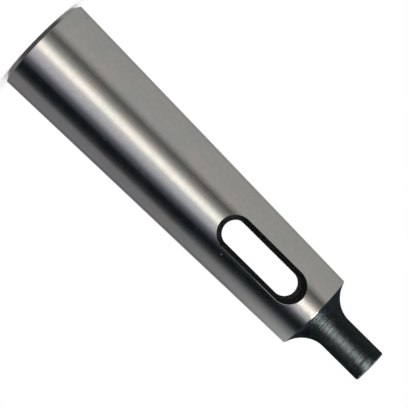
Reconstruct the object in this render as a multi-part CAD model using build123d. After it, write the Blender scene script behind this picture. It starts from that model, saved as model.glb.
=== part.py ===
"""Drill sleeve with a self-holding taper outside and the next smaller taper inside.

Millimetres. Z runs up the axis, from the big end's face at z = 0 to the end of the tang.
The drift slot goes through along Y, and the tang's two flats face X.
A taper's share is the change of its diameter for each unit of length.
"""

from build123d import *

import os
from math import hypot, radians, tan

# Outer taper, size 4, which runs to the big end's face
gauge_diameter = 31.267
gauge_height = 22.5
outer_taper_share = 0.05194
end_chamfer = 1.45

# Socket, size 3: its taper starts at the mouth, inside this much wall,
# and ends in a straight relief bore with a drilled point
mouth_wall = 4.3053
socket_taper_share = 0.05020
mouth_chamfer = 0.7
relief_length = 11.8
drill_point_angle = 118.0

# Drift slot, with rounded ends, through both walls
slot_start = 78.9
slot_length = 30.4
slot_width = 8.3
slot_chamfer = 1.6
bore_past_slot_start = 5.1

# Solid neck between the drift slot and the shoulder
neck_length = 7.7

# Driving tang, turned round and then milled flat on two sides
shoulder_step = 0.93
tang_length = 23.0
tang_thickness = 11.1
tang_fillet = 8.4
tang_end_chamfer = 0.45

# Centre hole in the tang's end
centre_diameter = 2.5
centre_depth = 6.0
countersink_diameter = 5.3
countersink_angle = 60.0

# Clearance of every cutter past the surface that it starts from
overrun = 3.0

# How far an edge may lie off the outer taper, over the slot's chamfer, and still count as on it
rim_tolerance_share = 0.01

# Heights that follow from the sizes above
bore_depth = slot_start + bore_past_slot_start
relief_start = bore_depth - relief_length
shoulder_height = slot_start + slot_length + neck_length
total_length = shoulder_height + tang_length


def outer_radius(height):
    """Radius of the outer taper at a height."""
    return (gauge_diameter - (height - gauge_height) * outer_taper_share) / 2


def socket_radius(depth):
    """Radius of the tapered socket at a depth from the big end's face."""
    return outer_radius(0) - mouth_wall - depth * socket_taper_share / 2


def turned(points):
    """Solid of revolution of an outline given as (radius, height)."""
    outline = Plane.XZ * make_face(Polyline(points, close=True))
    return revolve(outline, Axis.Z)


def turned_blank():
    """Outside of the sleeve as it comes off the lathe, with a round tang."""
    tang_radius = outer_radius(shoulder_height) - shoulder_step
    return turned(
        [
            (0, 0),
            (outer_radius(end_chamfer) - end_chamfer, 0),
            (outer_radius(end_chamfer), end_chamfer),
            (outer_radius(shoulder_height), shoulder_height),
            (tang_radius, shoulder_height + shoulder_step),
            (tang_radius, total_length),
            (0, total_length),
        ]
    )


def socket():
    """Tapered socket, its mouth chamfer, the relief bore and the drill's point."""
    chamfer_end_radius = socket_radius(mouth_chamfer)
    relief_radius = socket_radius(relief_start)
    point_height = relief_radius / tan(radians(drill_point_angle / 2))
    return turned(
        [
            (0, -overrun),
            (chamfer_end_radius + mouth_chamfer + overrun, -overrun),
            (chamfer_end_radius, mouth_chamfer),
            (relief_radius, relief_start),
            (relief_radius, bore_depth),
            (0, bore_depth + point_height),
        ]
    )


def drift_slot():
    """Cutter for the drift slot, as wide along X as the slot, through along Y."""
    middle = slot_start + slot_length / 2
    outline = Plane.XZ * Pos(0, middle) * SlotOverall(slot_length, slot_width, rotation=90)
    return extrude(outline, outer_radius(0) + overrun, both=True)


def slot_rims(body):
    """The slot's edges on the outer taper, on both sides of the sleeve."""
    tolerance = slot_chamfer * rim_tolerance_share
    lowest = slot_start - tolerance
    highest = slot_start + slot_length + tolerance

    def on_taper(point):
        return abs(hypot(point.X, point.Y) - outer_radius(point.Z)) < tolerance

    def on_rim(edge):
        points = [edge @ place for place in (0, 0.5, 1)]
        return all(on_taper(point) and lowest <= point.Z <= highest for point in points)

    return [edge for edge in body.edges() if on_rim(edge)]


def tang_side():
    """Cutter that leaves one flat of the tang, with the mill's round at its root."""
    flat = tang_thickness / 2
    root = flat + tang_fillet
    outside = max(root, outer_radius(shoulder_height)) + overrun
    above = total_length + overrun
    fillet_top = shoulder_height + tang_fillet
    outline = [
        Line((flat, above), (flat, fillet_top)),
        RadiusArc((flat, fillet_top), (root, shoulder_height), -tang_fillet),
        Line((root, shoulder_height), (outside, shoulder_height)),
        Line((outside, shoulder_height), (outside, above)),
        Line((outside, above), (flat, above)),
    ]
    return extrude(Plane.XZ * make_face(outline), outside, both=True)


def centre_hole():
    """Centre hole and its countersink, bored down from the tang's end."""
    hole_radius = centre_diameter / 2
    sink_radius = countersink_diameter / 2
    sink_slope = tan(radians(countersink_angle / 2))
    sink_depth = (sink_radius - hole_radius) / sink_slope
    point_height = hole_radius / tan(radians(drill_point_angle / 2))
    return turned(
        [
            (0, total_length + overrun),
            (sink_radius + overrun * sink_slope, total_length + overrun),
            (hole_radius, total_length - sink_depth),
            (hole_radius, total_length - centre_depth),
            (0, total_length - centre_depth - point_height),
        ]
    )


def taper_sleeve():
    """The whole sleeve, in one piece."""
    side = tang_side()
    body = turned_blank() - side - mirror(side, Plane.YZ)
    end_face = body.faces().sort_by(Axis.Z)[-1]
    body = chamfer(end_face.edges(), tang_end_chamfer)
    body -= centre_hole()
    body -= drift_slot()
    body = chamfer(slot_rims(body), slot_chamfer)
    return body - socket()


os.makedirs("parts", exist_ok=True)
export_step(taper_sleeve(), "parts/taper_sleeve.step")
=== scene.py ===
"""Looks of the taper sleeve: its finished body and the plain studio that it is shown in.

The file is laid out as a Blender add-on. Metres, with Z up the sleeve's axis from the big end's face.
The drift slot goes through along Y, and the tang's flats face X.
"""

import math

import bmesh
import bpy
from bpy.props import FloatProperty, FloatVectorProperty, IntProperty, PointerProperty
from mathutils import Matrix, Vector


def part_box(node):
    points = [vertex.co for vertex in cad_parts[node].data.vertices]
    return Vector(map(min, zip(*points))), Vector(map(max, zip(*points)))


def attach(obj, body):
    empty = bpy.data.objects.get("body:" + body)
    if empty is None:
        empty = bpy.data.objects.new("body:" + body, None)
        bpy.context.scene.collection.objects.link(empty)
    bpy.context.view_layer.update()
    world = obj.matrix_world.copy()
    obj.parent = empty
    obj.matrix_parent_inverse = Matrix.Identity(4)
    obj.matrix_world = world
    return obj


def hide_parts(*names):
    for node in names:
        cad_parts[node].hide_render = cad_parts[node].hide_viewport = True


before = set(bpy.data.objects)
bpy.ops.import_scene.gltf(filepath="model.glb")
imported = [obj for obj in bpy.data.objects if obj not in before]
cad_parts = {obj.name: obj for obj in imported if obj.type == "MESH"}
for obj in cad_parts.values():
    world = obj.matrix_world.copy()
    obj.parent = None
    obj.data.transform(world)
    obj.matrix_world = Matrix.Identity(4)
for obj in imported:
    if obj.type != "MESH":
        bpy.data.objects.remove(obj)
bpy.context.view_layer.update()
CAD_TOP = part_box("taper_sleeve")[1].z
BODY = "root"

bl_info = {
    "name": "Taper Sleeve",
    "version": (1, 0, 0),
    "blender": (4, 5, 0),
    "location": "View3D > Sidebar > Taper Sleeve",
    "description": "Models a ground taper sleeve with its drift slot and tang, and a plain studio for it",
    "category": "Add Mesh",
}

# How near two places on the mesh count as the same
TOUCH = 0.00001

# Largest gap between two vertices that are merged
WELD = TOUCH / 10

# Least part of a face's normal along a direction for the face to look that way
LOOKS_THAT_WAY = 0.5

# Largest angle between two faces that shade as one surface
SMOOTH_ANGLE = math.radians(16)

# Half angles of the centre hole's countersink and of a drill's point, and the slope of a worn rim
SINK_HALF_ANGLE = math.radians(30)
DRILL_HALF_ANGLE = math.radians(59)
WORN_RIM_ANGLE = math.radians(22.5)

# Faces round a broken corner, round the root of a flat and round the drift slot
CORNER_STEPS = 4
ROOT_STEPS = 32
SLOT_STEPS = 96

# How far the slot's cutter reaches out on each side, as a share of the big end's radius
CUTTER_REACH_SHARE = 1.5

# Rise of the cutter's slope that chamfers the tang's end, as a share of the tang's thickness
CHAMFER_RISE_SHARE = 0.25

# Where the rim's oxide is thin and where it grows barer, as shares of the slot's length from its lower end
THIN_RIM_SHARE = 0.45
BARE_RIM_SHARES = (0.51, 0.68)

# Radius that the turned surface is unrolled at for its pits
UNROLL_RADIUS = 0.015

# Width of the wear along the edges of the oxide
WEAR_WIDTH = 0.00035

# Cosines of the angle between a face and its rounded edge at which wear starts and is full
WEAR_COSINES = (0.985, 0.87)

# Range that most of a noise value lies in
NOISE_RANGE = (0.3, 0.7)

# A quarter turn, as a share of a full one
QUARTER_TURN = 0.25

# Lathe's marks, which deepen from the first height of a pair to the second: above the shoulder, then
# below the tang's end, where the last stretch has none
ROOT_MARKS = (0.0075, 0.0055)
END_MARKS = (0.0035, 0.0022)
SMOOTH_END = (0.0008, 0.0012)

# How far above the shoulder the oxide is blue
BLUE_REACH = 0.0045

# Order of the finishes in the sleeve's material slots
GROUND, OXIDE, FLAT, END, CHAMFER, MILLED, WORN, BORED, RIM = range(9)


def length(name, description, default):
    """A size in metres, as the panel shows it."""
    return FloatProperty(
        name=name, description=description, default=default, min=0, unit="LENGTH", precision=5,
    )


def number(name, description, default):
    """A plain number, as the panel shows it."""
    return FloatProperty(name=name, description=description, default=default)


def tone(name, description, default):
    """A colour, as the panel shows it."""
    return FloatVectorProperty(name=name, description=description, default=default, subtype="COLOR", min=0)


class TurnedSizes(bpy.types.PropertyGroup):
    """Sizes that the lathe and the grinder give."""

    total_length: length("Length", "From the big end's face to the tang's end", CAD_TOP)
    gauge_diameter: length("Gauge diameter", "Outer taper's diameter at the gauge height", 0.031267)
    gauge_height: length("Gauge height", "Height of the gauge plane", 0.0225)
    outer_taper: number("Outer taper", "Diameter lost for each length", 0.05194)
    end_chamfer: length("End chamfer", "Chamfer round the big end", 0.00145)
    mouth_wall: length("Mouth wall", "Wall at the socket's mouth", 0.0043053)
    socket_taper: number("Socket taper", "Diameter lost for each depth", 0.0502)
    mouth_chamfer: length("Mouth chamfer", "Chamfer round the socket's mouth", 0.0007)
    bore_depth: length("Bore depth", "Depth of the relief bore's wall", 0.084)
    relief_length: length("Relief length", "Length of the straight relief bore", 0.0118)
    shoulder_step: length("Shoulder step", "Chamfer from the taper down to the tang", 0.00093)
    tang_length: length("Tang length", "From the shoulder to the end", 0.023)
    tang_end_chamfer: length("Tang end chamfer", "Chamfer round the tang's end", 0.00045)
    centre_diameter: length("Centre diameter", "Centre hole in the tang's end", 0.0025)
    centre_depth: length("Centre depth", "Depth of the centre hole", 0.006)
    sink_diameter: length("Countersink", "Centre hole's countersink", 0.0053)
    edge_break: length("Broken edge", "Round on the turned corners", 0.00012)
    ring_gap: length("Ring gap", "Spacing of the mesh's rings", 0.0024)
    segments: IntProperty(name="Segments", description="Faces round the axis", default=288, min=24)


class MilledSizes(bpy.types.PropertyGroup):
    """Sizes of the drift slot and of the tang's flats."""

    slot_start: length("Slot start", "Height of the drift slot's lower end", 0.0789)
    slot_length: length("Slot length", "Drift slot, end to end", 0.0304)
    slot_width: length("Slot width", "Drift slot, wall to wall", 0.0083)
    slot_chamfer: length("Slot chamfer", "Chamfer along the slot's edges", 0.0016)
    rim_break: length("Worn rim", "Width of the worn edge round the slot's chamfer", 0.00008)
    tang_thickness: length("Tang thickness", "Between the tang's flats", 0.0111)
    tang_fillet: length("Tang fillet", "Round at the root of each flat", 0.0084)


class FinishTones(bpy.types.PropertyGroup):
    """Colours of the finishes."""

    ground_cool: tone("Ground steel, cool", "Ground surface where it is cool", (0.55, 0.57, 0.56))
    ground_warm: tone("Ground steel, warm", "Ground surface where it is warm", (0.605, 0.58, 0.57))
    pit: tone("Pit", "Small pits in the ground surface", (0.25, 0.25, 0.26))
    oxide: tone("Black oxide", "Oxide on the turned tang and the shoulder", (0.001, 0.003, 0.0035))
    oxide_blue: tone("Blue oxide", "Oxide close to the shoulder", (0.002, 0.0035, 0.0095))
    flat: tone("Flat oxide", "Oxide on the tang's flats and end", (0.0055, 0.0085, 0.0095))
    chamfer: tone("Chamfer oxide", "Oxide on the drift slot's chamfers", (0.0022, 0.003, 0.0033))
    milled: tone("Milled oxide", "Oily oxide on the drift slot's walls", (0.002, 0.002, 0.002))
    worn: tone("Worn edge", "Steel where an edge has lost its oxide", (0.13, 0.13, 0.12))
    bored: tone("Bored steel", "Oiled surface inside the socket", (0.3, 0.3, 0.295))
    oxide_sheen: tone("Oxide sheen", "Lighter clouds in the black oxide", (0.007, 0.0115, 0.0125))
    oxide_edge: tone("Oxide edge", "Worn edges of the black oxide", (0.075, 0.08, 0.08))
    milled_edge: tone("Milled edge", "Worn edges of the milled oxide", (0.14, 0.145, 0.145))


class StudioSettings(bpy.types.PropertyGroup):
    """Camera, floor and the level of the soft light."""

    camera_place: FloatVectorProperty(
        name="Camera place", description="Where the camera stands", default=(0.00271, -0.6377, 0.06514),
        subtype="TRANSLATION",
    )
    camera_aim: FloatVectorProperty(
        name="Camera aim", description="Point that the camera looks at", default=(0.00028, 0, 0.07018),
        subtype="TRANSLATION",
    )
    camera_roll: FloatProperty(
        name="Camera roll", description="Turn of the camera about its line of sight",
        default=math.radians(134.761), subtype="ANGLE",
    )
    lens: number("Lens", "Focal length in millimetres", 184.57)
    sensor: number("Sensor", "Sensor width in millimetres", 36.0)
    floor_radius: length("Floor radius", "Radius of the round floor", 3.0)
    floor: tone("Floor", "Pale floor", (0.82, 0.82, 0.82))
    floor_glow: number("Floor glow", "White added to the floor for the camera", 0.27)
    soft_light: number("Soft light", "Level of the light from all sides", 0.95)


def outer_radius(turned, height):
    """Radius of the outer taper at a height."""
    return (turned.gauge_diameter - (height - turned.gauge_height) * turned.outer_taper) / 2


def socket_radius(turned, depth):
    """Radius of the tapered socket at a depth."""
    return outer_radius(turned, 0) - turned.mouth_wall - depth * turned.socket_taper / 2


def shoulder_height(turned):
    """Height at which the outer taper ends."""
    return turned.total_length - turned.tang_length


def new_part(name, add, **settings):
    """Adds a primitive with nothing else selected, and names it."""
    bpy.ops.object.select_all(action="DESELECT")
    add(**settings)
    part = bpy.context.object
    part.name = name
    part.data.name = name
    return part


def pick(part):
    """Makes one object the only one that is selected, and the active one."""
    bpy.ops.object.select_all(action="DESELECT")
    part.select_set(True)
    bpy.context.view_layer.objects.active = part


def edit(part):
    """Enters edit mode on one object alone, with all of its vertices selected."""
    pick(part)
    bpy.ops.object.mode_set(mode="EDIT")
    bpy.ops.mesh.select_mode(type="VERT")
    bpy.ops.mesh.select_all(action="SELECT")


def select(part, kind, wanted):
    """Selects the vertices, edges or faces of the edited mesh that a test wants, and nothing else."""
    bpy.ops.mesh.select_mode(type=kind)
    shape = bmesh.from_edit_mesh(part.data)
    items = {"VERT": shape.verts, "EDGE": shape.edges, "FACE": shape.faces}[kind]
    chosen = [item for item in items if wanted(item)]
    bpy.ops.mesh.select_all(action="DESELECT")
    for item in chosen:
        item.select_set(True)
    shape.select_flush_mode()
    bmesh.update_edit_mesh(part.data)


def middle(item):
    """Middle of an edge or a face."""
    return sum((v.co for v in item.verts), Vector()) / len(item.verts)


def apply_modifier(part, kind, **settings):
    """Adds a modifier to an object and applies it."""
    pick(part)
    modifier = part.modifiers.new(kind.lower(), kind)
    for name, value in settings.items():
        setattr(modifier, name, value)
    bpy.ops.object.modifier_apply(modifier=modifier.name)


def cut(part, cutter):
    """Takes a cutter's shape out of a part, and removes the cutter."""
    apply_modifier(part, "BOOLEAN", operation="DIFFERENCE", solver="EXACT", object=cutter)
    bpy.data.objects.remove(cutter)


def turned_corners(turned):
    """Corners of the turned outline as (radius, height), from the centre hole's tip to the bore's tip."""
    top = turned.total_length
    shoulder = shoulder_height(turned)
    shoulder_radius = outer_radius(turned, shoulder)
    tang_radius = shoulder_radius - turned.shoulder_step
    centre = turned.centre_diameter / 2
    sink = turned.sink_diameter / 2
    sink_depth = (sink - centre) / math.tan(SINK_HALF_ANGLE)
    drill_slope = 1 / math.tan(DRILL_HALF_ANGLE)
    end = turned.end_chamfer
    mouth = turned.mouth_chamfer
    relief_start = turned.bore_depth - turned.relief_length
    relief = socket_radius(turned, relief_start)
    return [
        (0, top - turned.centre_depth - centre * drill_slope),
        (centre, top - turned.centre_depth),
        (centre, top - sink_depth),
        (sink, top),
        (tang_radius - turned.tang_end_chamfer, top),
        (tang_radius, top - turned.tang_end_chamfer),
        (tang_radius, shoulder + turned.shoulder_step),
        (shoulder_radius, shoulder),
        (outer_radius(turned, end), end),
        (outer_radius(turned, end) - end, 0),
        (socket_radius(turned, mouth) + mouth, 0),
        (socket_radius(turned, mouth), mouth),
        (relief, relief_start),
        (relief, turned.bore_depth),
        (0, turned.bore_depth + relief * drill_slope),
    ]


def draw_outline(name, corners):
    """An open chain of edges through the corners, in the XZ plane."""
    part = new_part(name, bpy.ops.mesh.primitive_plane_add)
    edit(part)
    bpy.ops.mesh.merge(type="CENTER")
    pen = Vector()
    for index, (radius, height) in enumerate(corners):
        step = Vector((radius, 0, height)) - pen
        if index == 0:
            bpy.ops.transform.translate(value=step)
        else:
            bpy.ops.mesh.extrude_region_move(TRANSFORM_OT_translate={"value": step})
        pen += step
    return part


def turn_body(turned):
    """The turned body: its outline, with broken corners, spun round the axis."""

    def rings(edge):
        return round(edge.calc_length() / turned.ring_gap)

    part = draw_outline("ground_sleeve", turned_corners(turned))
    select(part, "VERT", lambda v: v.co.x > TOUCH)
    bpy.ops.mesh.bevel(offset=turned.edge_break, segments=CORNER_STEPS, affect="VERTICES")
    outline = bmesh.from_edit_mesh(part.data)
    for count in sorted({rings(edge) for edge in outline.edges}):
        if count > 1:
            select(part, "EDGE", lambda e: rings(e) == count)
            bpy.ops.mesh.subdivide(number_cuts=count - 1)
    bpy.ops.mesh.select_all(action="SELECT")
    bpy.ops.mesh.spin(steps=turned.segments, angle=math.tau, center=(0, 0, 0), axis=(0, 0, 1))
    bpy.ops.mesh.select_all(action="SELECT")
    bpy.ops.mesh.remove_doubles(threshold=WELD)
    bpy.ops.mesh.normals_make_consistent(inside=False)
    bpy.ops.object.mode_set(mode="OBJECT")
    return part


def finish_of(turned, place):
    """Which finish the turned body has at a place."""
    radius = math.hypot(place.x, place.y)
    below_top = turned.total_length - place.z
    if below_top < TOUCH:
        return END
    if below_top < turned.tang_end_chamfer and radius > turned.sink_diameter:
        return WORN
    if place.z > shoulder_height(turned):
        return OXIDE
    wall = socket_radius(turned, place.z) + turned.mouth_chamfer
    if place.z > turned.mouth_chamfer and radius < wall:
        return BORED
    return GROUND


def lay_finishes(turned, part, materials):
    """Gives each face of the turned body its finish."""
    for material in materials:
        part.data.materials.append(material)
    edit(part)
    for index in range(len(materials)):
        select(part, "FACE", lambda f: finish_of(turned, middle(f)) == index)
        part.active_material_index = index
        bpy.ops.object.material_slot_assign()
    bpy.ops.object.mode_set(mode="OBJECT")


def finish_cutter(cutter, materials, index, wanted=None):
    """Lets a cutter leave a finish on what it cuts, all over or on the faces that a test wants."""
    if len(cutter.data.materials) == 0:
        for material in materials:
            cutter.data.materials.append(material)
    edit(cutter)
    select(cutter, "FACE", wanted or (lambda f: True))
    cutter.active_material_index = index
    bpy.ops.object.material_slot_assign()
    bpy.ops.object.mode_set(mode="OBJECT")


def flat_cutter(turned, milled, side):
    """Cutter that leaves one flat of the tang, its root's round and its end's chamfer."""
    shoulder = shoulder_height(turned)
    flat = milled.tang_thickness / 2
    depth = outer_radius(turned, 0) * 2
    height = turned.tang_length - turned.tang_end_chamfer
    chamfer_rise = milled.tang_thickness * CHAMFER_RISE_SHARE
    cutter = new_part("flat_cutter", bpy.ops.mesh.primitive_cube_add, size=1)
    edit(cutter)
    bpy.ops.transform.resize(value=(depth, 2 * depth, height))
    bpy.ops.transform.translate(value=(side * (flat + depth / 2), 0, shoulder + height / 2))

    def on_inside(item):
        return abs(middle(item).x - side * flat) < TOUCH

    select(cutter, "FACE", lambda f: f.normal.z > LOOKS_THAT_WAY)
    bpy.ops.mesh.extrude_region_move(TRANSFORM_OT_translate={"value": (0, 0, chamfer_rise)})
    top = shoulder + height + chamfer_rise
    select(cutter, "EDGE", lambda e: on_inside(e) and abs(middle(e).z - top) < TOUCH)
    bpy.ops.transform.translate(value=(-side * chamfer_rise, 0, 0))
    select(cutter, "EDGE", lambda e: on_inside(e) and abs(middle(e).z - shoulder) < TOUCH)
    bpy.ops.mesh.bevel(offset=milled.tang_fillet, segments=ROOT_STEPS, affect="EDGES")
    bpy.ops.mesh.select_all(action="SELECT")
    bpy.ops.mesh.normals_make_consistent(inside=False)
    bpy.ops.object.mode_set(mode="OBJECT")
    return cutter


def name_loop(part, name):
    """Keeps the selected loop of vertices under a name of its own."""
    if part.vertex_groups:
        bpy.ops.object.vertex_group_remove_from(use_all_groups=True)
    part.vertex_groups.new(name=name)
    bpy.ops.object.vertex_group_assign()


def pull_loop(part, name, value):
    """Moves a named loop."""
    bpy.ops.mesh.select_all(action="DESELECT")
    part.vertex_groups.active = part.vertex_groups[name]
    bpy.ops.object.vertex_group_select()
    bpy.ops.transform.translate(value=value)


def extrude_loop(part, name, out, scale=1.0, squeeze=1.0):
    """Extrudes the selected loop towards the front and scales it, and keeps it under a name."""
    bpy.ops.mesh.extrude_region_move(TRANSFORM_OT_translate={"value": (0, -out, 0)})
    bpy.ops.transform.resize(value=(scale * squeeze, 1, scale), center_override=(0, 0, 0))
    name_loop(part, name)


def slot_cutter(turned, milled, surface):
    """Cutter of the drift slot: straight walls, a chamfer that follows the taper, and its worn rim."""
    wall = milled.slot_width / 2
    reach = outer_radius(turned, 0) * CUTTER_REACH_SHARE
    rise = milled.slot_length - milled.slot_width
    worn_slope = math.tan(WORN_RIM_ANGLE)
    worn_depth = milled.rim_break * worn_slope
    flare = milled.slot_chamfer / 2
    at_slot = outer_radius(turned, milled.slot_start + milled.slot_length / 2)
    rim = wall + milled.slot_chamfer - worn_depth
    rim_angle = math.asin(wall / at_slot) + (rim - wall) / at_slot
    squeeze = math.sin(rim_angle) * at_slot / rim
    outside = rim + (worn_depth + flare) / worn_slope
    cutter = new_part(
        "slot_cutter", bpy.ops.mesh.primitive_circle_add, vertices=SLOT_STEPS, radius=wall,
        rotation=(math.pi / 2, math.pi / SLOT_STEPS, 0),
    )
    bpy.ops.object.transform_apply(rotation=True)
    edit(cutter)
    name_loop(cutter, "middle")
    extrude_loop(cutter, "chamfer_root", reach)
    extrude_loop(cutter, "worn_root", 0, rim / wall, squeeze)
    extrude_loop(cutter, "outside", 0, outside / rim)
    extrude_loop(cutter, "end", reach)
    bpy.ops.mesh.edge_face_add()
    select(cutter, "VERT", lambda v: v.co.z > 0)
    bpy.ops.transform.translate(value=(0, 0, rise))
    bpy.ops.mesh.select_all(action="SELECT")
    bpy.ops.transform.translate(value=(0, 0, milled.slot_start + wall))
    bpy.ops.mesh.select_all(action="DESELECT")
    on_surface = cutter.vertex_groups.new(name="on_surface")
    for name in ("chamfer_root", "worn_root", "outside"):
        cutter.vertex_groups.active = cutter.vertex_groups[name]
        bpy.ops.object.vertex_group_select()
    cutter.vertex_groups.active = on_surface
    bpy.ops.object.vertex_group_assign()
    bpy.ops.object.mode_set(mode="OBJECT")
    apply_modifier(
        cutter, "SHRINKWRAP", target=surface, wrap_method="PROJECT", vertex_group="on_surface",
        use_project_y=True, use_positive_direction=True, use_negative_direction=False,
    )
    edit(cutter)
    pull_loop(cutter, "chamfer_root", (0, milled.slot_chamfer, 0))
    pull_loop(cutter, "worn_root", (0, worn_depth, 0))
    pull_loop(cutter, "outside", (0, -flare, 0))
    bpy.ops.object.mode_set(mode="OBJECT")
    apply_modifier(
        cutter, "MIRROR", use_axis=(False, True, False), use_clip=False,
        use_mirror_merge=True, merge_threshold=TOUCH,
    )
    edit(cutter)
    bpy.ops.mesh.normals_make_consistent(inside=False)
    bpy.ops.object.mode_set(mode="OBJECT")
    return cutter


def finish_ring(cutter, lower, upper, index, wanted=None):
    """Lets a cutter leave a finish between two of its loops, all along or where a test wants it."""
    edit(cutter)
    bpy.ops.mesh.select_all(action="DESELECT")
    for name in (lower, upper):
        cutter.vertex_groups.active = cutter.vertex_groups[name]
        bpy.ops.object.vertex_group_select()
    if wanted:
        select(cutter, "FACE", lambda f: f.select and wanted(middle(f)))
    cutter.active_material_index = index
    bpy.ops.object.material_slot_assign()
    bpy.ops.object.mode_set(mode="OBJECT")


def node(tree, kind, inputs=None, **settings):
    """Adds a shader node. Each input is a value, or another node's socket to link."""
    made = tree.nodes.new(kind)
    for name, value in settings.items():
        setattr(made, name, value)
    for key, value in (inputs or {}).items():
        if isinstance(value, bpy.types.NodeSocket):
            tree.links.new(value, made.inputs[key])
        else:
            made.inputs[key].default_value = value
    return made


def figure(tree, operation, *values):
    """The result of a Math node."""
    return node(tree, "ShaderNodeMath", dict(enumerate(values)), operation=operation).outputs[0]


def product(tree, first, second):
    """Two values, multiplied."""
    return figure(tree, "MULTIPLY", first, second)


def fade(tree, value, start, end, low=0.0, high=1.0):
    """A soft step between two values of an input."""
    made = node(
        tree, "ShaderNodeMapRange",
        {"Value": value, "From Min": start, "From Max": end, "To Min": low, "To Max": high},
        interpolation_type="SMOOTHSTEP",
    )
    return made.outputs["Result"]


def spread(tree, clouds, low, high):
    """A noise value, spread over a range."""
    return fade(tree, clouds, *NOISE_RANGE, low, high)


def scaled(colour, share):
    """A colour, darker or lighter by a share."""
    return [channel * share for channel in colour]


# Where a Mix node has its share, its two colours and its mixed colour
MIX_INPUTS = (0, 6, 7)
MIX_OUTPUT = 2


def blend(tree, share, first, second, kind="MIX"):
    """Mixes two colours."""
    made = node(tree, "ShaderNodeMix", data_type="RGBA", blend_type=kind)
    sockets = [made.inputs[index] for index in MIX_INPUTS]
    for socket, value in zip(sockets, (share, first, second)):
        if isinstance(value, bpy.types.NodeSocket):
            tree.links.new(value, socket)
        elif socket.type == "RGBA":
            socket.default_value = (*value[:3], 1)
        else:
            socket.default_value = value
    return made.outputs[MIX_OUTPUT]


def new_material(name):
    """An empty node material with its output, its Principled shader and the object's coordinates."""
    material = bpy.data.materials.new(name)
    material.use_nodes = True
    tree = material.node_tree
    tree.nodes.clear()
    shader = node(tree, "ShaderNodeBsdfPrincipled")
    node(tree, "ShaderNodeOutputMaterial", {"Surface": shader.outputs[0]})
    place = node(tree, "ShaderNodeTexCoord").outputs["Object"]
    return material, tree, shader, place


def stretched(tree, place, scale):
    """The object's coordinates, scaled on each axis."""
    return node(tree, "ShaderNodeMapping", {"Vector": place, "Scale": scale}).outputs[0]


def unrolled(tree, place):
    """The turned surface laid out flat: the way round it, in metres at one radius, and the height."""
    parts = node(tree, "ShaderNodeSeparateXYZ", {"Vector": place}).outputs
    front = product(tree, parts["Y"], -1)
    turn = figure(tree, "ARCTAN2", parts["X"], front)
    way = product(tree, turn, UNROLL_RADIUS)
    return node(tree, "ShaderNodeCombineXYZ", {"X": way, "Y": parts["Z"]}).outputs[0]


def noise(tree, place, scale, detail=2.0, roughness=0.5):
    """A noise value over coordinates that are already scaled, around a half."""
    inputs = {"Vector": place, "Scale": scale, "Detail": detail, "Roughness": roughness}
    return node(tree, "ShaderNodeTexNoise", inputs).outputs["Fac"]


def bump(tree, shader, marks, strength, distance):
    """Lets marks stand out of the shader's surface."""
    lines = node(tree, "ShaderNodeBump", {"Strength": strength, "Distance": distance, "Height": marks})
    tree.links.new(lines.outputs[0], shader.inputs["Normal"])
    return lines


def around_axis(tree, shader, amount):
    """Spreads the shader's gloss along Z, as marks that run round the axis do."""
    tangent = node(tree, "ShaderNodeTangent", direction_type="RADIAL", axis="Z")
    tree.links.new(tangent.outputs[0], shader.inputs["Tangent"])
    shader.inputs["Anisotropic"].default_value = amount
    shader.inputs["Anisotropic Rotation"].default_value = QUARTER_TURN


def edge_wear(tree, place):
    """Share of wear along the edges, broken up by a noise value."""
    rounded = node(tree, "ShaderNodeBevel", {"Radius": WEAR_WIDTH}, samples=4)
    surface = node(tree, "ShaderNodeNewGeometry")
    facing = node(
        tree, "ShaderNodeVectorMath", {0: rounded.outputs[0], 1: surface.outputs["Normal"]},
        operation="DOT_PRODUCT",
    )
    edge = fade(tree, facing.outputs["Value"], *WEAR_COSINES)
    wear = noise(tree, place, scale=800, detail=3)
    return product(tree, edge, fade(tree, wear, 0.35, 0.6))


def ground_steel(tones):
    """Bright ground steel: fine marks round the axis, faint warm and cool patches and a few small pits."""
    material, tree, shader, place = new_material("ground_steel")
    patches = fade(tree, noise(tree, place, scale=90, detail=4, roughness=0.6), 0.35, 0.65)
    grain = spread(tree, noise(tree, place, scale=700), 0.97, 1.02)
    colour = blend(tree, 1.0, blend(tree, patches, tones.ground_cool, tones.ground_warm), grain, "MULTIPLY")
    cells = node(
        tree, "ShaderNodeTexVoronoi", {"Vector": unrolled(tree, place), "Scale": 120, "Randomness": 1.0},
        voronoi_dimensions="2D",
    )
    chosen = node(tree, "ShaderNodeSeparateColor", {"Color": cells.outputs["Color"]}).outputs[0]
    size = fade(tree, chosen, 0.78, 1.0, high=0.045)
    pit = fade(tree, figure(tree, "SUBTRACT", size, cells.outputs["Distance"]), 0.0, 0.02)
    shader.inputs["Metallic"].default_value = 1.0
    tree.links.new(blend(tree, pit, colour, tones.pit), shader.inputs["Base Color"])
    streaks = noise(tree, stretched(tree, place, (45, 45, 110)), scale=1, detail=4, roughness=0.6)
    rough = figure(tree, "ADD", spread(tree, streaks, 0.11, 0.17), product(tree, pit, 0.5))
    tree.links.new(rough, shader.inputs["Roughness"])
    around_axis(tree, shader, 0.4)
    marks = noise(tree, stretched(tree, place, (90, 90, 3500)), scale=1, roughness=0.6)
    lines = bump(tree, shader, marks, strength=0.08, distance=0.00002)
    dents = node(
        tree, "ShaderNodeBump",
        {"Strength": 0.1, "Distance": 0.00008, "Height": pit, "Normal": lines.outputs[0]}, invert=True,
    )
    tree.links.new(dents.outputs[0], shader.inputs["Normal"])
    return material


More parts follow.
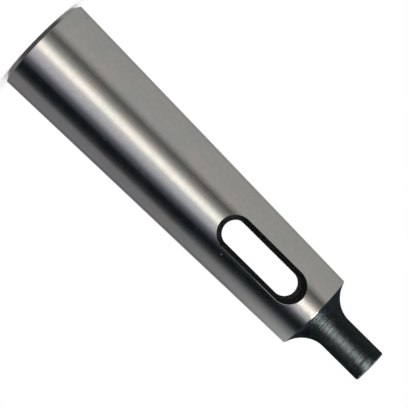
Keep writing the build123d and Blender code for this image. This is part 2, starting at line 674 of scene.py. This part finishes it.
def black_oxide(turned, tones):
    """Oiled black oxide, with the lathe's marks on the tang and a blue cast at the shoulder."""
    material, tree, shader, place = new_material("black_oxide")
    height = node(tree, "ShaderNodeSeparateXYZ", {"Vector": place}).outputs["Z"]
    shoulder = shoulder_height(turned)
    root_marks = fade(tree, height, *(shoulder + up for up in ROOT_MARKS))
    end_marks = fade(tree, height, *(turned.total_length - down for down in END_MARKS))
    smooth_end = fade(tree, height, *(turned.total_length - down for down in SMOOTH_END))
    marked = fade(tree, figure(tree, "MAXIMUM", root_marks, end_marks), 0, 1, low=0.5)
    strength = product(tree, marked, smooth_end)
    blue = fade(tree, height, shoulder + BLUE_REACH, shoulder)
    mottle = noise(tree, place, scale=420, detail=4, roughness=0.6)
    colour = blend(tree, blue, tones.oxide, tones.oxide_blue)
    light = blend(tree, fade(tree, mottle, 0.45, 0.75), colour, tones.oxide_sheen)
    worn = blend(tree, edge_wear(tree, place), light, tones.oxide_edge)
    tree.links.new(worn, shader.inputs["Base Color"])
    shader.inputs["Specular IOR Level"].default_value = 0.42
    shader.inputs["Specular Tint"].default_value = (0.86, 1.0, 0.97, 1)
    tree.links.new(spread(tree, mottle, 0.31, 0.39), shader.inputs["Roughness"])
    around_axis(tree, shader, 0.92)
    marks = noise(tree, stretched(tree, place, (24, 24, 1600)), scale=1, roughness=0.6)
    uneven = fade(tree, noise(tree, place, scale=130), 0.35, 0.65, low=0.6)
    deep = product(tree, strength, uneven)
    bump(tree, shader, product(tree, marks, deep), strength=1.0, distance=0.0004)
    return material


def milled_oxide(name, tone, edge_tone, shine, dullness, wear):
    """Oily oxide on milled steel: how much it shines, its least roughness, and how bare its edges are."""
    material, tree, shader, place = new_material(name)
    film = noise(tree, place, scale=260, detail=4, roughness=0.6)
    colour = blend(tree, fade(tree, film, 0.45, 0.75), tone, scaled(tone, 2))
    edge = product(tree, edge_wear(tree, place), wear)
    tree.links.new(blend(tree, edge, colour, edge_tone), shader.inputs["Base Color"])
    tree.links.new(spread(tree, film, dullness, dullness + 0.14), shader.inputs["Roughness"])
    shader.inputs["Specular IOR Level"].default_value = shine
    marks = noise(tree, stretched(tree, place, (700, 180, 2200)), scale=1)
    bump(tree, shader, marks, strength=0.5, distance=0.00008)
    return material


def worn_steel(tones):
    """Steel on edges that have rubbed bright."""
    material, tree, shader, place = new_material("worn_steel")
    wear = noise(tree, place, scale=500, detail=3, roughness=0.6)
    colour = blend(tree, fade(tree, wear, 0.4, 0.65), tones.worn, scaled(tones.worn, 0.7))
    tree.links.new(colour, shader.inputs["Base Color"])
    shader.inputs["Metallic"].default_value = 1.0
    tree.links.new(spread(tree, wear, 0.45, 0.6), shader.inputs["Roughness"])
    return material


def rim_steel(milled, tones):
    """Thin oxide on the slot's rim, which lets more steel through towards the small end."""
    material, tree, shader, place = new_material("rim_steel")
    height = node(tree, "ShaderNodeSeparateXYZ", {"Vector": place}).outputs["Z"]
    stretch = (milled.slot_start + milled.slot_length * share for share in BARE_RIM_SHARES)
    bare = fade(tree, height, *stretch, low=0.18, high=0.63)
    tree.links.new(blend(tree, bare, tones.milled, tones.ground_cool), shader.inputs["Base Color"])
    shader.inputs["Metallic"].default_value = 1.0
    shader.inputs["Roughness"].default_value = 0.15
    return material


def bored_steel(tones):
    """Oiled steel inside the socket, with the reamer's marks."""
    material, tree, shader, place = new_material("bored_steel")
    film = noise(tree, place, scale=120, detail=4)
    colour = blend(tree, fade(tree, film, 0.4, 0.65), tones.bored, scaled(tones.bored, 0.6))
    tree.links.new(colour, shader.inputs["Base Color"])
    shader.inputs["Metallic"].default_value = 1.0
    tree.links.new(spread(tree, film, 0.25, 0.4), shader.inputs["Roughness"])
    around_axis(tree, shader, 0.6)
    marks = noise(tree, stretched(tree, place, (70, 70, 2600)), scale=1, detail=3)
    bump(tree, shader, marks, strength=0.15, distance=0.00003)
    return material


# Tints of the studio's wall
PAPER = (1.0, 0.99, 0.96)
CREAM = (1.0, 0.965, 0.89)
COOL = (1.0, 1.0, 1.04)
BLUE = (1.0, 1.03, 1.14)
BLACK = (0.6, 1.0, 1.3)

# Studio wall that polished steel shows: azimuth in degrees from the camera towards -X, level and tint
WALL = (
    (-180, 1.25, PAPER),
    (-169, 0.95, PAPER),
    (-158, 0.20, COOL),
    (-146, 0.16, COOL),
    (-134, 0.25, COOL),
    (-102, 0.235, COOL),
    (-88, 0.045, BLUE),
    (-75, 0.008, BLACK),
    (-60, 0.011, BLACK),
    (-46, 0.16, BLUE),
    (-35, 0.52, BLUE),
    (-18, 0.84, PAPER),
    (-10, 1.58, CREAM),
    (-3, 1.56, CREAM),
    (4, 1.0, CREAM),
    (11, 0.49, CREAM),
    (21, 0.225, CREAM),
    (30, 0.13, CREAM),
    (38, 0.31, PAPER),
    (48, 0.485, PAPER),
    (118, 0.445, PAPER),
    (134, 0.43, PAPER),
    (147, 0.33, PAPER),
    (158, 0.36, PAPER),
    (169, 0.95, PAPER),
    (180, 1.25, PAPER),
)


def studio_wall(tree, turn):
    """Colour of the studio's wall at an azimuth. Its first row takes the stop that the new ramp keeps."""
    share = figure(tree, "MULTIPLY_ADD", turn, 1 / math.tau, 0.5)
    ramp = node(tree, "ShaderNodeValToRGB", {"Fac": share})
    stops = ramp.color_ramp.elements
    stops.remove(stops[1])
    for row, (azimuth, level, tint) in enumerate(WALL):
        stop = stops.new(azimuth / 360 + 0.5) if row else stops[0]
        stop.color = (*(level * channel for channel in tint), 1)
    return ramp.outputs["Color"]


# Greys that polished steel shows: the wall's pale side, the floor, the ceiling and straight above
PALE_SIDE = (0.52, 0.52, 0.51)
LIT_FLOOR = (0.38, 0.38, 0.38)
FAR_FLOOR = (0.10, 0.10, 0.10)
CEILING = (0.1, 0.1, 0.1)
OVERHEAD = (0.6, 0.6, 0.62)

# Bright card that the tang shows: its level, and the azimuth of its middle in degrees
CARD = (30, 30, 30)
CARD_AZIMUTH = -7

# Turn of the wall's dark part above level, in degrees
LEAN = -13

# Level of the soft light from below, as a share of its level from above
BELOW_SHARE = 0.9

# How much of the wall shows through the floor and the ceiling
FLOOR_WALL_SHARE = 0.8
CEILING_WALL_SHARE = 0.25

# Rises between which the studio changes, as sines of the angle above level
LEAN_RISES = (0.02, 0.13)
PALE_RISES = (0.05, 0.12)
FLOOR_RISES = (-0.12, -0.42)
FAR_FLOOR_RISES = (-0.74, -0.9)
CEILING_RISES = (0.16, 0.42)
OVERHEAD_RISES = (0.72, 0.86)
CARD_FOOT_RISES = (0.33, 0.41)
CARD_HEAD_RISES = (0.93, 0.8)
SOFT_RISES = (-0.2, 0.5)

# Azimuths between which the studio changes, in degrees, and the card's from its own middle
DARK_START_TURNS = (-110, -85)
DARK_END_TURNS = (-18, -42)
PALE_TURNS = (-85, -125)
CARD_TURNS = (16, 3)

# Parts of a direction towards the camera between which the floor turns far off
FAR_FLOOR_FRONTS = (0.12, -0.04)


def turn_fade(tree, turn, start, end):
    """A soft step between two azimuths in degrees."""
    return fade(tree, turn, math.radians(start), math.radians(end))


def shown_wall(tree, turn, rise):
    """The wall as steel shows it: its dark part leans, and one side of it turns pale above."""
    dark = product(tree, turn_fade(tree, turn, *DARK_START_TURNS), turn_fade(tree, turn, *DARK_END_TURNS))
    lean = product(tree, dark, fade(tree, rise, *LEAN_RISES))
    wall = studio_wall(tree, figure(tree, "MULTIPLY_ADD", lean, math.radians(LEAN), turn))
    pale = product(tree, turn_fade(tree, turn, *PALE_TURNS), fade(tree, rise, *PALE_RISES))
    return blend(tree, pale, wall, PALE_SIDE)


def shown_room(tree, wall, rise, front):
    """The wall with the floor below it and the ceiling above it, as steel shows them."""
    lit_floor = blend(tree, FLOOR_WALL_SHARE, LIT_FLOOR, wall)
    away = fade(tree, front, *FAR_FLOOR_FRONTS)
    far_floor = product(tree, fade(tree, rise, *FAR_FLOOR_RISES), away)
    below = blend(tree, far_floor, lit_floor, FAR_FLOOR)
    lower = blend(tree, fade(tree, rise, *FLOOR_RISES), wall, below)
    ceiling = blend(tree, CEILING_WALL_SHARE, CEILING, wall)
    upper = blend(tree, fade(tree, rise, *CEILING_RISES), lower, ceiling)
    return blend(tree, fade(tree, rise, *OVERHEAD_RISES), upper, OVERHEAD)


def card_share(tree, turn, rise):
    """How much of the bright card lies in a direction."""
    off_card = figure(tree, "ABSOLUTE", figure(tree, "SUBTRACT", turn, math.radians(CARD_AZIMUTH)))
    band = product(tree, fade(tree, rise, *CARD_FOOT_RISES), fade(tree, rise, *CARD_HEAD_RISES))
    return product(tree, band, turn_fade(tree, off_card, *CARD_TURNS))


def studio_world(studio):
    """White to the camera, a soft light on all surfaces, and a studio with a card for gloss to show."""
    world = bpy.data.worlds.new("studio")
    bpy.context.scene.world = world
    world.use_nodes = True
    tree = world.node_tree
    tree.nodes.clear()
    direction = node(tree, "ShaderNodeTexCoord").outputs["Generated"]
    parts = node(tree, "ShaderNodeSeparateXYZ", {"Vector": direction})
    rise = parts.outputs["Z"]
    left = product(tree, parts.outputs["X"], -1)
    front = product(tree, parts.outputs["Y"], -1)
    turn = figure(tree, "ARCTAN2", left, front)
    room = shown_room(tree, shown_wall(tree, turn, rise), rise, front)
    gloss = blend(tree, card_share(tree, turn, rise), room, CARD)
    above = [studio.soft_light] * 3
    soft = blend(tree, fade(tree, rise, *SOFT_RISES), scaled(above, BELOW_SHARE), above)
    light = node(tree, "ShaderNodeLightPath")
    seen = blend(tree, light.outputs["Is Glossy Ray"], soft, gloss)
    straight = figure(tree, "MAXIMUM", light.outputs["Is Camera Ray"], light.outputs["Is Transmission Ray"])
    final = blend(tree, straight, seen, (1, 1, 1))
    background = node(tree, "ShaderNodeBackground", {"Color": final, "Strength": 1.0})
    node(tree, "ShaderNodeOutputWorld", {"Surface": background.outputs[0]})


def pale_floor(studio):
    """Round pale floor, white to the camera where no shadow falls."""
    floor = new_part(
        "floor", bpy.ops.mesh.primitive_circle_add, vertices=128,
        radius=studio.floor_radius, fill_type="NGON",
    )
    material, tree, shader, place = new_material("pale_floor")
    grain = spread(tree, noise(tree, place, scale=30, detail=3), 0.985, 1.0)
    colour = blend(tree, 1.0, studio.floor, grain, "MULTIPLY")
    tree.links.new(colour, shader.inputs["Base Color"])
    shader.inputs["Roughness"].default_value = 0.9
    shader.inputs["Specular IOR Level"].default_value = 0.0
    seen = node(tree, "ShaderNodeLightPath").outputs["Is Camera Ray"]
    glow = product(tree, seen, studio.floor_glow)
    shader.inputs["Emission Color"].default_value = (1, 1, 1, 1)
    tree.links.new(glow, shader.inputs["Emission Strength"])
    floor.data.materials.append(material)
    floor.visible_glossy = False


def soft_lamp(name, place, aim, size, power):
    """A large square lamp that lights surfaces and leaves no image of itself in the steel."""
    bpy.ops.object.select_all(action="DESELECT")
    bpy.ops.object.light_add(type="AREA", location=place)
    lamp = bpy.context.object
    lamp.name = name
    lamp.data.shape = "SQUARE"
    lamp.data.size = size
    lamp.data.energy = power
    lamp.rotation_euler = (Vector(aim) - Vector(place)).to_track_quat("-Z", "Y").to_euler()
    lamp.visible_glossy = False


def studio_camera(studio):
    """Camera at the reference view, rolled so that the upright sleeve lies across the picture."""
    bpy.ops.object.select_all(action="DESELECT")
    bpy.ops.object.camera_add(location=studio.camera_place)
    camera = bpy.context.object
    camera.name = "camera"
    line = Vector(studio.camera_aim) - Vector(studio.camera_place)
    level = line.to_track_quat("-Z", "Y").to_matrix()
    camera.rotation_euler = (level @ Matrix.Rotation(studio.camera_roll, 3, "Z")).to_euler()
    camera.data.sensor_width = studio.sensor
    camera.data.lens = studio.lens
    bpy.context.scene.camera = camera


class SLEEVE_OT_add_sleeve(bpy.types.Operator):
    """Model the ground sleeve with its socket, drift slot and tang"""

    bl_idname = "mesh.add_taper_sleeve"
    bl_label = "Taper Sleeve"
    bl_options = {"REGISTER", "UNDO"}

    def execute(self, context):
        turned = context.scene.sleeve_turned
        milled = context.scene.sleeve_milled
        tones = context.scene.sleeve_tones
        edge = tones.milled_edge
        materials = [
            ground_steel(tones),
            black_oxide(turned, tones),
            milled_oxide("flat_oxide", tones.flat, edge, shine=0.05, dullness=0.45, wear=1.0),
            milled_oxide("end_oxide", tones.flat, edge, shine=0.0, dullness=0.6, wear=0.0),
            milled_oxide("chamfer_oxide", tones.chamfer, edge, shine=0.14, dullness=0.42, wear=0.0),
            milled_oxide("milled_oxide", tones.milled, edge, shine=0.05, dullness=0.8, wear=0.1),
            worn_steel(tones),
            bored_steel(tones),
            rim_steel(milled, tones),
        ]
        body = turn_body(turned)
        lay_finishes(turned, body, materials)
        # The slot's cutter lies on a copy of the body, because the flats cut into the body first
        surface = body.copy()
        surface.data = body.data.copy()
        context.collection.objects.link(surface)
        chamfer_start = turned.total_length - turned.tang_end_chamfer
        for side in (1, -1):

            def on_chamfer(face):
                faces_in = face.normal.x * side < -LOOKS_THAT_WAY
                return faces_in and middle(face).z > chamfer_start

            cutter = flat_cutter(turned, milled, side)
            finish_cutter(cutter, materials, FLAT)
            finish_cutter(cutter, materials, WORN, on_chamfer)
            cut(body, cutter)
        cutter = slot_cutter(turned, milled, surface)
        finish_cutter(cutter, materials, MILLED)
        finish_ring(cutter, "chamfer_root", "worn_root", CHAMFER)
        finish_ring(cutter, "worn_root", "outside", CHAMFER)
        thin_from = milled.slot_start + milled.slot_length * THIN_RIM_SHARE
        finish_ring(cutter, "worn_root", "outside", RIM, lambda at: at.x > 0 and at.z > thin_from)
        cut(body, cutter)
        bpy.data.objects.remove(surface)
        pick(body)
        bpy.ops.object.shade_smooth_by_angle(angle=SMOOTH_ANGLE)
        apply_modifier(body, "WEIGHTED_NORMAL", keep_sharp=True, weight=50)
        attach(body, BODY)
        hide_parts("taper_sleeve")
        return {"FINISHED"}


class SLEEVE_OT_add_studio(bpy.types.Operator):
    """Set up the pale floor, the soft light and the camera"""

    bl_idname = "scene.add_sleeve_studio"
    bl_label = "Studio"
    bl_options = {"REGISTER", "UNDO"}

    def execute(self, context):
        studio = context.scene.sleeve_studio
        context.scene.view_settings.view_transform = "Standard"
        studio_world(studio)
        pale_floor(studio)
        aim = (0, 0, CAD_TOP / 2)
        soft_lamp("key", place=(-0.9, -0.7, 1.5), aim=aim, size=1.2, power=8)
        soft_lamp("fill", place=(1.1, -1.0, 0.9), aim=aim, size=1.4, power=3)
        studio_camera(studio)
        return {"FINISHED"}


class SLEEVE_PT_panel(bpy.types.Panel):
    """Sizes and tones of the sleeve, with a button for each operator"""

    bl_label = "Taper Sleeve"
    bl_space_type = "VIEW_3D"
    bl_region_type = "UI"
    bl_category = "Taper Sleeve"

    def draw(self, context):
        scene = context.scene
        for group, title in (
            (scene.sleeve_turned, "Turned"),
            (scene.sleeve_milled, "Milled"),
            (scene.sleeve_tones, "Finishes"),
            (scene.sleeve_studio, "Studio"),
        ):
            box = self.layout.box()
            box.label(text=title)
            for name in group.__annotations__:
                box.prop(group, name)
        self.layout.operator(SLEEVE_OT_add_sleeve.bl_idname)
        self.layout.operator(SLEEVE_OT_add_studio.bl_idname)


GROUPS = {
    "sleeve_turned": TurnedSizes,
    "sleeve_milled": MilledSizes,
    "sleeve_tones": FinishTones,
    "sleeve_studio": StudioSettings,
}
CLASSES = (*GROUPS.values(), SLEEVE_OT_add_sleeve, SLEEVE_OT_add_studio, SLEEVE_PT_panel)


def register():
    for item in CLASSES:
        bpy.utils.register_class(item)
    for name, group in GROUPS.items():
        setattr(bpy.types.Scene, name, PointerProperty(type=group))


def unregister():
    for name in GROUPS:
        delattr(bpy.types.Scene, name)
    for item in reversed(CLASSES):
        bpy.utils.unregister_class(item)


def main():
    register()
    bpy.ops.mesh.add_taper_sleeve()
    bpy.ops.scene.add_sleeve_studio()


if __name__ == "__main__":
    main()
